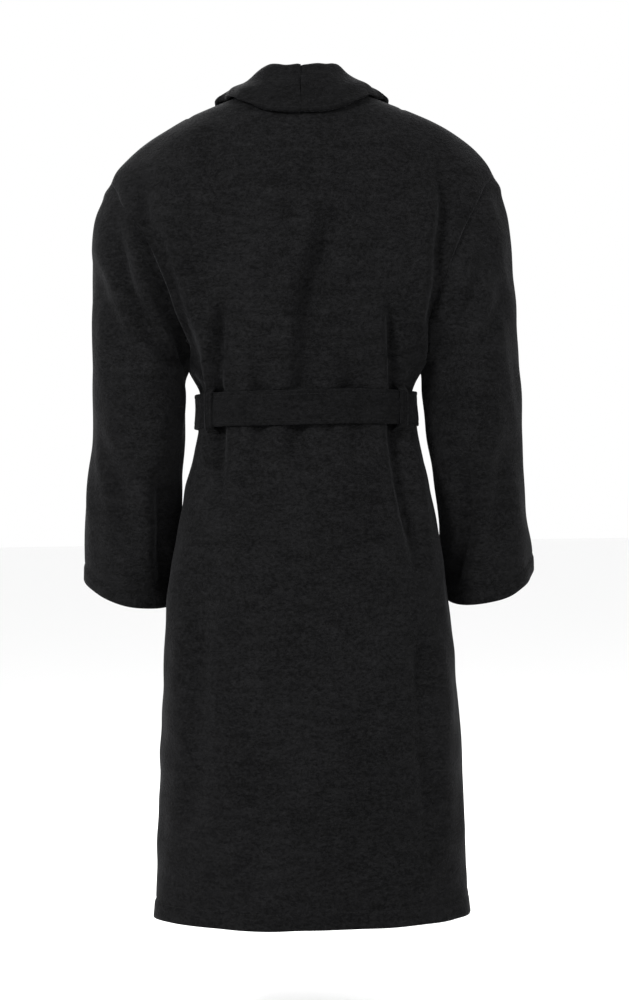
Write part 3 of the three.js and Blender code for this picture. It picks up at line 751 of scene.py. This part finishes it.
def sleeve_grid(rows=150, columns=132):
    """The inside of the left sleeve's cloth, as rings from the armhole seam down to the cuff."""
    (sx, sz), (ax, az) = SHOULDER, ARMPIT
    corner = [(CUFF.x + side * CUFF_WIDTH / 2 - 0.006 * (1 - side), CUFF.y, CUFF.z + side * 0.016)
              for side in (1, -1)]
    outer = smooth_line([(sx, 0, sz), (sx + 0.022, 0, sz - 0.1), (sx + 0.031, 0.002, mix(sz, CUFF.z, 0.53)),
                         corner[0]], rows)[:, None]
    under = smooth_line([(ax, 0, az), (ax + 0.003, 0, az - 0.053), (ax + 0.011, 0, WAIST_Z - 0.093),
                         corner[1]], rows)[:, None]
    v = np.linspace(0, 1, rows)[:, None]
    turn = np.linspace(0, 2 * math.pi, columns, endpoint=False)[None, :]
    tilt = CUFF_TILT * smooth((v - 0.55) / 0.45)
    deep = np.stack([0 * tilt, np.cos(tilt), -np.sin(tilt)], axis=-1)
    deep = deep * mix(ARMHOLE_DEPTH, CUFF_DEPTH / 2, smooth(v))[..., None]
    across = (outer - under) / 2 * np.cos(turn)[..., None]
    grid = (outer + under) / 2 + across + deep * np.sin(turn)[..., None]
    bow = ARMHOLE_BOW * np.sin(math.pi * (1 - np.cos(turn)) / 2) * (1 - smooth(v / 0.15))
    grid[..., 0] -= bow
    return grid, v, turn


def meet_panels(sleeve, plain, v, turn, panels, name, sign):
    """Brings the top of a sleeve onto the edges of the panels it is sewn to."""
    (back_plain, back), (front_plain, front) = panels["back"], panels[name]
    edge = -1 if sign > 0 else 0
    target = np.empty_like(sleeve[0])
    for rear, (flat, finished) in ((True, (back_plain[:, edge], back[:, edge] * [sign, 1, 1])),
                                   (False, (front_plain[:, -1], front[:, -1]))):
        these = (np.sin(turn[0]) > 0) == rear
        for c in range(3):
            target[these, c] = np.interp(-plain[0, these, 2], -flat[:, 2], finished[:, c])
    return sleeve + (target - sleeve[0]) * (1 - smooth(v / 0.09))[..., None]


def add_sleeves(panels):
    for name, sign in (("left", 1), ("right", -1)):
        plain, v, turn = sleeve_grid()
        world = plain * [sign, 1, 1]
        x, z = world[..., 0], world[..., 2]
        rear = smooth((np.sin(turn) + 0.25) / 0.5)
        own = SLEEVE_FOLD_DEPTH * sum(fold(x, z, *shape) for shape in SLEEVE_FOLDS[sign])
        near = 1 - smooth((v - 0.1) / 0.4)
        height = CLOTH + rear * (rear_waves(world) * near + own) + (1 - rear) * fore_waves(world) * near
        height += 0.0035 * drift(world * [1, 1, 0.5], 0.13, 31 + sign) * smooth(v / 0.2)
        height += 0.0012 * drift(world * [1, 1, 0.6], 0.05, 34 + sign)
        height += 0.003 * bump(v - 0.05, 0.05) * np.maximum(np.cos(turn), 0)
        sleeve = plain + grid_normals(plain, True) * height[..., None]
        steps = np.linalg.norm(np.diff(sleeve[::-1], axis=0), axis=-1)
        up = np.concatenate([np.zeros((1, steps.shape[1])), np.cumsum(steps, axis=0)])[::-1]
        roll = 0.0016 * smooth((CUFF_FOLD + 0.002 - up) / 0.003) - 0.0016 * bump(up - CUFF_FOLD, 0.0022)
        sleeve = sleeve + grid_normals(plain, True) * roll[..., None]
        sleeve = meet_panels(sleeve, plain, v, turn, panels, name, sign) * [sign, 1, 1]
        piece = cloth_piece(f"sleeve_cloth_{name}", sleeve, BLACK_TERRY, ring=True)
        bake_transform(piece)
        sewn(piece, None, [f"sleeve_{name}"])
        line = row_at(sleeve, CUFF_FOLD)
        line = np.vstack([line, line[:1]])
        out = grid_normals(sleeve, True)[-12]
        stitch_row(f"cuff_stitches_{name}", line, np.vstack([out, out[:1]]), f"sleeve_{name}", THREAD)


# ------------------------------------------------------------------ collar

def rest_height(x, y):
    """The height at which the outside of the back reaches a place in plan."""
    high, low = 0.0, WAIST_Z
    for _ in range(30):
        z = (high + low) / 2
        if body_point(1, np.array(x), np.array(z))[1] + CLOTH < y:
            high = z
        else:
            low = z
    return high + CLOTH


def hook_outline(turn):
    """The outline of the collar where it stands up round the neck and falls over the back."""
    back, side = math.sin(turn), math.cos(turn)
    seam = mix(0, -NECK_DIP, back ** 2) + CLOTH + 0.003
    roll = seam + 0.052 * mix(0.45, 1, float(smooth(back)))

    def at(wide, deep, z, square=1.0):
        return np.array([(NECK_X + wide) * side ** square, BACK_DEPTH * deep * back ** square, z])
    inner = at(0.012, 0.785, 0, 0.72)
    edge = max(rest_height(inner[0], inner[1]) + 0.002, roll - 0.079)
    middle = mix(roll, edge, 0.5)
    return [at(-0.004, 0.595, seam), at(-0.014, 0.540, mix(seam, roll, 0.45)),
            at(-0.029, 0.465, roll - 0.012), at(-0.029, 0.470, roll - 0.003), at(-0.024, 0.515, roll), at(-0.018, 0.585, roll - 0.005),
            at(-0.006, 0.690, middle + 0.006, 0.95), at(0.010, 0.790, edge + 0.015, 0.80),
            at(0.018, 0.833, edge + 0.003, 0.72), at(0.017, 0.822, edge, 0.72), inner + [0, 0, edge + 0.001],
            at(0.005, 0.750, edge + 0.015, 0.80), at(-0.012, 0.645, middle + 0.004, 0.95),
            at(-0.021, 0.560, roll - 0.010), at(-0.008, 0.597, mix(seam, roll, 0.4)), at(0.003, 0.638, seam)]


def lapel_outline(z, sign):
    """The outline of the collar where it lies flat on a front, as the lapel."""
    width = mix(0.028, LAPEL, float(smooth(z / (0.55 * SHOULDER[1]))))
    edge = float(front_edge(np.array(z)))
    thick = LAPEL_THICK

    def at(across, up):
        x = np.array(edge + across)
        lift = float(wrap_lift(np.maximum(x - 0.03, 0), np.array(z))) if sign > 0 else 0
        return on_body(-1, x, np.array(z), np.array(lift + CLOTH + 0.003 + up))
    return [at(0.010, 0), at(0.004, 0), at(-0.001, 0.0008), at(-0.003, 0.35 * thick), at(-0.002, 0.8 * thick),
            at(0.004, 1.02 * thick), at(0.35 * width, thick), at(0.85 * width, 0.95 * thick),
            at(0.985 * width, 0.8 * thick), at(width, 0.45 * thick), at(0.985 * width, 0.1 * thick),
            at(0.85 * width, 0), at(0.6 * width, 0), at(0.45 * width, 0),
             at(0.35 * width, 0), at(0.25 * width, 0)]


def add_collar():
    for name, sign in (("left", 1), ("right", -1)):
        turns = [math.radians(d) for d in (90, 76, 62, 48, 34, 20, 7)]
        heights = [mix(-0.006, BELT_TOP + 0.014, (k / 12) ** 1.6) for k in range(13)]
        controls = np.array([hook_outline(t) for t in turns] + [lapel_outline(z, sign) for z in heights])
        stations_count, around = 200, 84
        swept = [smooth_line(controls[:, k], stations_count) for k in range(controls.shape[1])]
        swept = np.stack(swept, axis=1)
        ring = np.stack([smooth_line(np.vstack([row[-1:], row, row[:2]]), 19 * 12) for row in swept])
        ring = ring[:, 12:12 * 17]
        closed = np.concatenate([ring, ring[:, :1]], axis=1)
        length = np.cumsum(np.linalg.norm(np.diff(closed, axis=1), axis=-1), axis=1)
        seat = (length[:, 12 * 9] - 0.006) / length[:, -1] * around
        ring = spread(closed, around + 1, 1)[:, :-1]
        along = np.linalg.norm(ring - ring[:1], axis=-1)
        out = grid_normals(ring, True)
        wave = 0.0011 * drift(ring, 0.045, 50 + sign) - 0.0012 * bump(along, 0.003)
        collar = (ring + out * wave[..., None])
        collar[..., 0] = np.maximum(collar[..., 0], -0.0003 - 9 * (np.arange(stations_count) > 60)[:, None])
        collar = collar * [sign, 1, 1]
        piece = tube_piece(f"collar_cloth_{name}", collar, BLACK_TERRY_DOUBLED_PAINTED_SHADE)
        sewn(piece, "robe_body", [f"collar_{name}"])
        rows, low = np.arange(stations_count), seat.astype(int)
        path, normals = (mix(part[rows, low], part[rows, low + 1], (seat - low)[:, None])
                         for part in (collar, out * [sign, 1, 1]))
        stitch_row(f"collar_stitches_{name}", path[1:-1], normals[1:-1], "robe_body", THREAD)


# ------------------------------------------------------------------ belt, loops and knot

def soft_edge(share, width):
    """How far a doubled strip thins towards its edges, with the grooves of its edge stitching."""
    inset = (0.5 - np.abs(share - 0.5)) * width
    return -0.0013 * bump(inset, 0.0022) - 0.0008 * bump(inset - 0.0055, 0.0016)


def add_belt():
    rows, columns = 25, 400
    v = np.linspace(0, 1, rows)[:, None]
    turn = np.linspace(0, 2 * math.pi, columns, endpoint=False)[None, :]
    z = mix(BELT_TOP, BELT_BOTTOM, v) + 0 * turn
    x = np.sin(turn) * panel_width(z)
    inside = np.where((np.cos(turn) >= 0)[..., None], body_point(1, x, z), body_point(-1, x, z))
    out = grid_normals(inside, True) * [1, 1, 0]
    out /= np.linalg.norm(out, axis=-1, keepdims=True)
    front = (np.cos(turn) < 0) * WRAP_LIFT * (1 - smooth((np.abs(x) - WRAP_HEM_X - 0.006) / 0.05))
    height = CLOTH + 0.0015 + front + BELT_THICK + soft_edge(v, BELT_TOP - BELT_BOTTOM)
    height = height + 0.0006 * drift(inside, 0.05, 61)
    belt = inside + out * height[..., None]
    belt[..., 2] += 0.0008 * drift(inside * [1, 1, 0], 0.14, 62)
    piece = cloth_piece("belt_around", belt, BLACK_TERRY_DOUBLED_PAINTED_SHADE, BELT_THICK, ring=True)
    sewn(piece, "robe_body", ["belt_band"])
    for k, share in enumerate((0.115, 0.885)):
        row = int(share * (rows - 1) + 0.5)
        closed = np.vstack([belt[row], belt[row, :1]])
        stitch_row(f"belt_stitches_{k}", closed, np.vstack([out[row], out[row, :1]]), "robe_body", THREAD)
    for name, sign in (("left", 1), ("right", -1)):
        width, reach = 0.0095, (BELT_TOP - BELT_BOTTOM) / 2 + 0.009
        u, v = np.linspace(0, 1, 13)[None, :], np.linspace(0, 1, 90)[:, None]
        x = sign * (0.128 + (u - 0.5) * width) + 0 * v
        z = WAIST_Z + (0.5 - v) * 2 * reach + 0 * u
        plain = body_point(1, x, z)
        from_end = (reach - np.abs(z - WAIST_Z)) / 0.008
        ends = CLOTH + back_height(plain) + 0.0028
        over = CLOTH + BELT_THICK + 0.0022 + 0.0026
        height = mix(ends, over, smooth(from_end)) + soft_edge(u, 0.016) * 0.8
        loop = on_body(1, x, z, height)
        piece = cloth_piece(f"belt_loop_cloth_{name}", loop, BLACK_TERRY_DOUBLED_PAINTED_SHADE, 0.0025)
        sewn(piece, "robe_body", [f"belt_loop_{name}"])
        for k, row in enumerate((4, 85)):
            stitch_row(f"loop_stitches_{name}_{k}", loop[row, 1:-1], grid_normals(loop)[row, 1:-1],
                       "robe_body", THREAD, gap=0.0026)
        edge = loop[:, 2 if sign > 0 else -3]
        stitch_row(f"loop_edge_{name}", edge[3:-3], grid_normals(loop)[3:-3, 2], "robe_body", THREAD)


def add_knot():
    """A flat tie: a turn of the belt over a core, and the two gathered ends that run into it from the sides."""
    depth = float(front_depth(WAIST_Z)) + WRAP_LIFT + CLOTH + 0.0045 + BELT_THICK
    middle = np.array([0, -(depth + 0.0195), WAIST_Z])
    lean = 0.30
    wide = np.array([math.cos(lean), 0, math.sin(lean)])
    up = np.array([-math.sin(lean), 0, math.cos(lean)])
    share = np.linspace(-1, 1, 25)[:, None, None]
    turn = np.linspace(0, 2 * math.pi, 72, endpoint=False)[None, :, None]
    girth = 1 - 0.30 * share ** 4 + 0.03 * np.sin(6 * share + 3 * np.cos(turn))
    wrap = (middle + wide * share * 0.0205 + up * np.cos(turn) * 0.0245 * girth
            + np.array([0, -1, 0]) * np.sin(turn) * 0.0185 * girth)
    along = np.linspace(-1, 1, 21)[:, None]
    round_it = np.linspace(0, 2 * math.pi, 48, endpoint=False)[None, :]
    full = np.sqrt(np.maximum(1 - 0.9 * along ** 2, 0)) * (1 + 0.05 * np.cos(9 * round_it))
    core = np.stack([0.024 * along + 0 * full, middle[1] - 0.0125 * full * np.sin(round_it),
                     WAIST_Z + 0.0185 * full * np.cos(round_it)], axis=-1)
    core = core * [math.cos(lean), 1, 1]
    piece = tube_piece("knot_core", core, BLACK_TERRY_DOUBLED_PAINTED_SHADE)
    sewn(piece, "robe_body")
    piece = cloth_piece("knot_turn", wrap, BLACK_TERRY_DOUBLED_PAINTED_SHADE, 0.005, ring=True)
    sewn(piece, "robe_body", ["belt_knot"])
    for name, sign in (("left", 1), ("right", -1)):
        u, v = np.linspace(0, 1, 31)[None, :], np.linspace(0, 1, 40)[:, None]
        across = (u - 0.5) * mix(0.040, 0.024, smooth(v))
        pleat = 0.0022 * np.cos(5 * math.pi * (u - 0.5)) * smooth(v)
        x = sign * mix(0.046, 0.002, v) + 0 * u
        swell = 0.004 * np.sin(math.pi * v) * np.cos(math.pi * (u - 0.5))
        y = -(depth + mix(0.004, 0.017, smooth(v)) + pleat + swell)
        z = WAIST_Z + across + sign * 0.006 * smooth(v)
        feed = np.stack([x, y, z], axis=-1)
        piece = cloth_piece(f"knot_end_{name}", feed, BLACK_TERRY_DOUBLED_PAINTED_SHADE, 0.004)
        sewn(piece, "robe_body")


def add_tails():
    for name, sign in (("left", 1), ("right", -1)):
        top, length, width = BELT_BOTTOM - 0.0035, 0.388, 0.046
        u, v = np.linspace(0, 1, 25)[None, :], np.linspace(0, 1, 150)[:, None]
        gather = smooth(v / 0.16)
        x = sign * (mix(0.013, 0.027, gather) + (u - 0.5) * mix(0.027, width, gather))
        z = top - v * length + 0 * u
        lift = WRAP_LIFT + CLOTH + 0.003 + BELT_THICK + soft_edge(u, width) * gather
        pleat = 0.003 * np.cos(4 * math.pi * (u - 0.5)) * (1 - gather)
        sway = 0.003 * np.sin(2.2 * math.pi * v + sign) * smooth(v / 0.3) * (u - 0.5)
        sway = sway + 0.002 * smooth(v / 0.4)
        tail = on_body(-1, x, z, lift + pleat + sway + 0.010 * (1 - smooth(v / 0.10)))
        piece = cloth_piece(f"tail_cloth_{name}", tail, BLACK_TERRY_DOUBLED_PAINTED_SHADE, BELT_THICK)
        body = f"belt_tail_{name}"
        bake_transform(piece)
        sewn(piece, None, [body])
        normals = grid_normals(tail)
        for k, column in enumerate((3, -4)):
            stitch_row(f"tail_stitches_{name}_{k}", tail[20:-3, column], normals[20:-3, column], body, THREAD)
        stitch_row(f"tail_end_{name}", tail[-4, 3:-3], normals[-4, 3:-3], body, THREAD)


# ------------------------------------------------------------------ pockets and the hanger loop

def add_pockets():
    side, width, top, height = 0.178, 0.108, -0.616, 0.184
    for name, sign in (("left", 1), ("right", -1)):
        u, v = np.linspace(0, 1, 45)[None, :], np.linspace(0, 1, 70)[:, None]
        x = mix(side - width, side, u) + 0 * v
        z = top - height * v + 0 * u
        inset = np.minimum(np.minimum(u, 1 - u) * width, (1 - v) * height)
        open_up = smooth(inset / 0.03) * mix(1, 0.35, smooth(v / 0.6))
        hem = 0.0014 * smooth((0.027 - v * height) / 0.003) - 0.0012 * bump(v * height - 0.025, 0.002)
        room = 0.013 * open_up + hem * smooth(inset / 0.004) - 0.0012 * bump(inset - 0.005, 0.0018)
        room = room + 0.0010 * drift(np.stack([x, 0 * x, z], axis=-1), 0.05, 71 + sign)
        pocket = on_front(x, z, sign, CLOTH + 0.0015 + room)
        piece = cloth_piece(f"pocket_cloth_{name}", pocket, BLACK_TERRY_DOUBLED_PAINTED_SHADE, CLOTH)
        sewn(piece, "robe_body", [f"pocket_{name}"])
        normals = grid_normals(pocket)
        hem_row = int(0.025 / height * 69 + 0.5)
        stitch_row(f"pocket_hem_{name}", pocket[hem_row, 1:-1], normals[hem_row, 1:-1], "robe_body", THREAD)
        for k, (rows, column) in enumerate(((slice(0, -3), 2), (slice(0, -3), -3))):
            stitch_row(f"pocket_side_{name}_{k}", pocket[rows, column], normals[rows, column],
                       "robe_body", THREAD)
        stitch_row(f"pocket_foot_{name}", pocket[-3, 2:-2], normals[-3, 2:-2], "robe_body", THREAD)


def add_hanger_loop():
    low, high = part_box("hanger_loop")
    half, corner = high.x - 0.003, 0.011
    y, top, foot = (low.y + high.y) / 2, high.z - 0.005, low.z + 0.003
    bend = np.linspace(0, math.pi / 2, 12)
    left = [(-half, top - k * 0.002) for k in range(6)] + [(-half + corner * (1 - math.cos(b)),
            foot + corner * (1 - math.sin(b))) for b in bend]
    path = left + [(-x, z) for x, z in reversed(left)]
    path = np.array([(x, y, z) for x, z in path])
    bar = np.array([(x, y, top) for x in np.linspace(half, -half, 20)[1:-1]])
    path = np.vstack([path, bar])
    path = spread(np.vstack([path, path[:1]])[:, None], 161, 0)[:-1, 0]
    along = np.roll(path, -1, axis=0) - np.roll(path, 1, axis=0)
    inward = np.cross(along, [0, 1, 0])
    inward /= np.linalg.norm(inward, axis=1, keepdims=True)
    share = np.linspace(-1, 1, 9)[:, None, None]
    tape = path[None] + inward[None] * share * 0.0028
    tape = tape + np.array([0, 1, 0]) * (0.0011 - 0.0004 * share ** 4)
    piece = cloth_piece("hanger_loop_tape", tape, COTTON_TAPE, 0.0020, ring=True)
    sewn(piece, "hanger_loop", ["hanger_loop"])


# ------------------------------------------------------------------ stitching on the panels

def add_panel_stitches():
    line = smooth_line(NECK_LINE, 160)
    path = on_back(line[:, 0], line[:, 1])
    normals = path - on_back(line[:, 0], line[:, 1], -0.002)
    stitch_row("neck_facing_stitches", path, normals, "robe_body", THREAD)
    for name, (_, grid) in panels.items():
        sign = -1 if name == "right" else 1
        grid = grid * [sign, 1, 1]
        hem = row_at(grid, HEM_FOLD)
        stitch_row(f"hem_stitches_{name}", hem, grid_normals(grid)[-8], "robe_body", THREAD)


panels = add_panels()
add_facings()
add_sleeves(panels)
add_collar()
add_belt()
add_knot()
add_tails()
add_pockets()
add_hanger_loop()
add_panel_stitches()

# ------------------------------------------------------------------ light, floor and camera

def softbox(name, place, target, size, power):
    light = bpy.data.lights.new(name, "AREA")
    light.shape, light.size, light.energy = "SQUARE", size, power
    lamp = bpy.data.objects.new(name, light)
    bpy.context.scene.collection.objects.link(lamp)
    lamp.location = place
    lamp.rotation_euler = (Vector(target) - Vector(place)).to_track_quat("-Z", "Y").to_euler()


def set_studio():
    scene = bpy.context.scene
    scene.view_settings.view_transform = "Standard"
    world = bpy.data.worlds.new("white studio")
    world.use_nodes = True
    world.node_tree.nodes["Background"].inputs["Color"].default_value = (1, 1, 1, 1)
    world.node_tree.nodes["Background"].inputs["Strength"].default_value = 1.0
    scene.world = world
    middle = (0, 0, HEM_Z / 2)
    softbox("key light", (1.9, 2.1, 1.3), middle, 0.9, 120)
    softbox("fill light", (-2.1, 2.2, 0.4), middle, 1.4, 42)
    softbox("front light", (0.5, -2.2, 1.2), middle, 1.8, 60)
    bpy.ops.mesh.primitive_plane_add(size=60, location=(0, 0, HEM_Z - 0.16))
    floor = bpy.context.object
    floor.name = "studio_floor"
    paper = Finish("white paper")
    mottle = grain(paper, paper.node("ShaderNodeTexCoord", {}, {}, "Object"), 3, 2)
    paper.set(Base_Color=(0.94, 0.94, 0.94, 1), Roughness=mottle * 0.1 + 0.8)
    floor.data.materials.append(paper.material)


def set_camera():
    view_height, distance, level = 1.435, 2.70, -0.570
    data = bpy.data.cameras.new("camera")
    data.sensor_width = 36
    data.lens = data.sensor_width * distance / view_height
    camera = bpy.data.objects.new("camera", data)
    bpy.context.scene.collection.objects.link(camera)
    camera.rotation_mode = "XYZ"
    camera.location = (-0.0097, distance, level)
    camera.rotation_euler = (math.pi / 2, math.radians(0.9), math.pi)
    bpy.context.scene.camera = camera


set_studio()
set_camera()
